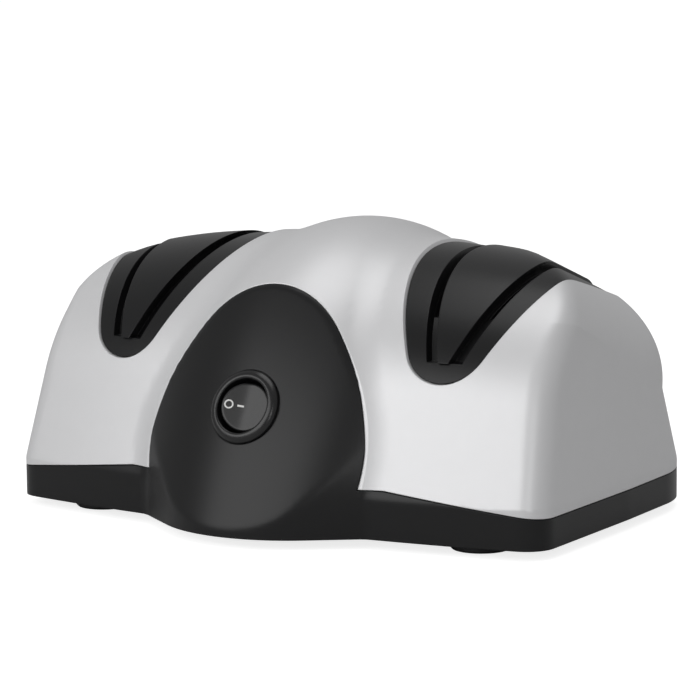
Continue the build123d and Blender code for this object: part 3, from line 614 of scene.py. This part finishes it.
turns = [math.pi / 2 * ring / rocker_rings for ring in range(rocker_rings + 1)]
rocker_profile = [(rocker_radius * math.sin(turn), rocker_rise) for turn in turns]
rocker_profile += [(rocker_radius, 0), (rocker_radius, -rocker_drop), (0, -rocker_drop)]
rocker_bm = turned(rocker_profile, rocker_steps)
for vert in rocker_bm.verts:
    if vert.co.z > 0:
        vert.co.z = face_height(vert.co.x, math.hypot(vert.co.x, vert.co.y))
    elif vert.co.z < 0:
        vert.co.x *= foot_share
bmesh.ops.transform(rocker_bm, matrix=rocker_place, verts=rocker_bm.verts)
rocker = mesh_object("switch_rocker_cap", rocker_bm)
shade(rocker, sharp_angle=40)
settle(rocker, switch_black, "rocker", "switch_black", "switch_rocker")

mark_white = finish("white_legend", (0.86, 0.86, 0.84), 0.5, 5200, 0.003 * mm)
ring_profile = [
    (ring_outer, mark_proud),
    (ring_inner, mark_proud),
    (ring_inner, -mark_sink),
    (ring_outer, -mark_sink),
    (ring_outer, mark_proud),
]
ring_bm = turned(ring_profile, ring_steps)
bmesh.ops.translate(ring_bm, vec=(ring_u, 0, 0), verts=ring_bm.verts)
bar_bm = bmesh.new()
bar_size = Matrix.Diagonal((bar_half_length, bar_half_width, (mark_proud + mark_sink) / 2, 1))
bar_place = Matrix.Translation((bar_u, 0, (mark_proud - mark_sink) / 2))
bmesh.ops.create_cube(bar_bm, size=2, matrix=bar_place @ bar_size)
for name, bm in (("rocker_ring_mark", ring_bm), ("rocker_bar_mark", bar_bm)):
    lay_on_face(bm)
    settle(mesh_object(name, bm), mark_white, "rocker", "mark_white", "rocker_marks")

# ---- Parts that keep their CAD shape ----
# The motor, the wheels, the fixings, the feet and the gland are shown as the frame's own solids,
# so they only get a finish each, by the material slot that the record gives them.
def metal(*look):
    """Finish of a bare metal."""
    return finish(*look, metallic=1)


frame_finishes = {
    "black_housing": black,
    "silver_paint": silver,
    "switch_black": switch_black,
    "mark_white": mark_white,
    "terminal_brass": metal("stamped_brass", (0.75, 0.60, 0.30), 0.3, 3000, 0.004 * mm),
    "motor_steel": metal("lamination_steel", (0.42, 0.42, 0.44), 0.45, 3000, 0.01 * mm),
    "copper": metal("enamelled_copper", (0.62, 0.26, 0.12), 0.3, 3000, 0.01 * mm),
    "nylon": finish("natural_nylon", (0.78, 0.78, 0.74), 0.45, 3000, 0.006 * mm),
    "cast_alloy": metal("die_cast_alloy", (0.62, 0.62, 0.63), 0.5, 2500, 0.02 * mm),
    "bronze": metal("sintered_bronze", (0.55, 0.38, 0.18), 0.5, 6000, 0.01 * mm),
    "steel": metal("zinc_plated_steel", (0.60, 0.60, 0.61), 0.32, 3000, 0.004 * mm),
    "hub_plastic": finish("glass_filled_nylon", (0.10, 0.10, 0.11), 0.5, 4000, 0.01 * mm),
    "coarse_abrasive": finish("coarse_grit", (0.36, 0.20, 0.14), 0.9, 2200, 0.12 * mm, tone=0.3),
    "fine_abrasive": finish("fine_grit", (0.80, 0.78, 0.74), 0.9, 5000, 0.05 * mm, tone=0.1),
    "rubber": finish("moulded_rubber", (0.025, 0.025, 0.026), 0.62, 4000, 0.02 * mm),
}
slots = {part["node"]: part["material_slot"] for part in frame["record"]["subparts"]}
for name, node in frame["nodes"].items():
    dress(node, frame_finishes[slots[name]])

# ---- Floor, lights and camera ----
# The camera's rays see a white backdrop, also through clear things, and a lifted white floor. All
# other rays meet their plain levels, so the object keeps plain light and the floor its shadow.
floor_size = 6.0
floor_lift = 0.8
air_level = 0.36
floor_bm = bmesh.new()
bmesh.ops.create_grid(floor_bm, x_segments=1, y_segments=1, size=floor_size)
floor = mesh_object("studio_floor", floor_bm)
floor_paint = finish("floor_paper", (0.62, 0.62, 0.62), 0.85, 300, 0.0, tone=0.005)
floor_nodes = floor_paint.node_tree.nodes
floor_links = floor_paint.node_tree.links
seen = floor_nodes.new("ShaderNodeLightPath")
lift = floor_nodes.new("ShaderNodeEmission")
lift.inputs["Color"].default_value = (1, 1, 1, 1)
paper = floor_nodes.new("ShaderNodeAddShader")
floor_links.new(floor_nodes["Principled BSDF"].outputs["BSDF"], paper.inputs[0])
floor_links.new(lift.outputs["Emission"], paper.inputs[1])
floor_links.new(paper.outputs["Shader"], floor_nodes["Material Output"].inputs["Surface"])
lift_share = floor_nodes.new("ShaderNodeMath")
lift_share.operation = "MULTIPLY"
lift_share.inputs[1].default_value = floor_lift
floor_links.new(seen.outputs["Is Camera Ray"], lift_share.inputs[0])
floor_links.new(lift_share.outputs["Value"], lift.inputs["Strength"])
dress(floor, floor_paint)

world = bpy.data.worlds.new("studio_air")
world.use_nodes = True
world_nodes = world.node_tree.nodes
world_links = world.node_tree.links
world_seen = world_nodes.new("ShaderNodeLightPath")
viewed = world_nodes.new("ShaderNodeMath")
viewed.operation = "MAXIMUM"
world_links.new(world_seen.outputs["Is Camera Ray"], viewed.inputs[0])
world_links.new(world_seen.outputs["Is Transmission Ray"], viewed.inputs[1])
level = world_nodes.new("ShaderNodeMapRange")
level.inputs["To Min"].default_value = air_level
level.inputs["To Max"].default_value = 1.0
world_links.new(viewed.outputs["Value"], level.inputs["Value"])
world_nodes["Background"].inputs["Color"].default_value = (1, 1, 1, 1)
world_links.new(level.outputs["Result"], world_nodes["Background"].inputs["Strength"])
bpy.context.scene.world = world

light_aim = Vector((0, 0, 0.04))


def area_light(name, place, size, power):
    """Soft rectangular lamp that faces the object."""
    data = bpy.data.lights.new(name, "AREA")
    data.shape = "RECTANGLE"
    data.size = size[0]
    data.size_y = size[1]
    data.energy = power
    light = bpy.data.objects.new(name, data)
    light.location = place
    light.rotation_euler = (light_aim - Vector(place)).to_track_quat("-Z", "Y").to_euler()
    bpy.context.scene.collection.objects.link(light)


area_light("front_left_softbox", (-0.40, -1.20, 0.60), (1.3, 0.8), 7.0)
area_light("camera_side_softbox", (0.75, -0.95, 0.45), (0.18, 0.5), 0.9)
area_light("top_softbox", (0, 0.1, 1.2), (0.8, 0.8), 3.0)

azimuth = math.radians(31.51)
pitch = math.radians(8.44)
roll = math.radians(-0.50)
focal_px = 3238.22
frame_px = 700
sensor = 36.0
camera_place = Vector((524.59 * mm, -862.9 * mm + loaf_y, 198.15 * mm))
flat_share = math.cos(pitch)
forward = Vector(
    (-math.sin(azimuth) * flat_share, math.cos(azimuth) * flat_share, -math.sin(pitch))
)
level_right = Vector((math.cos(azimuth), math.sin(azimuth), 0))
level_up = level_right.cross(forward)
right = level_right * math.cos(roll) + level_up * math.sin(roll)
up = level_up * math.cos(roll) - level_right * math.sin(roll)
camera_data = bpy.data.cameras.new("photo_camera")
camera_data.sensor_width = sensor
camera_data.sensor_height = sensor
camera_data.lens = focal_px * sensor / frame_px
camera_data.clip_end = 20
camera = bpy.data.objects.new("photo_camera", camera_data)
camera_turn = Matrix((right, up, -forward)).transposed().to_4x4()
camera.matrix_world = Matrix.Translation(camera_place) @ camera_turn
bpy.context.scene.collection.objects.link(camera)
bpy.context.scene.camera = camera
bpy.context.scene.view_settings.view_transform = "Standard"
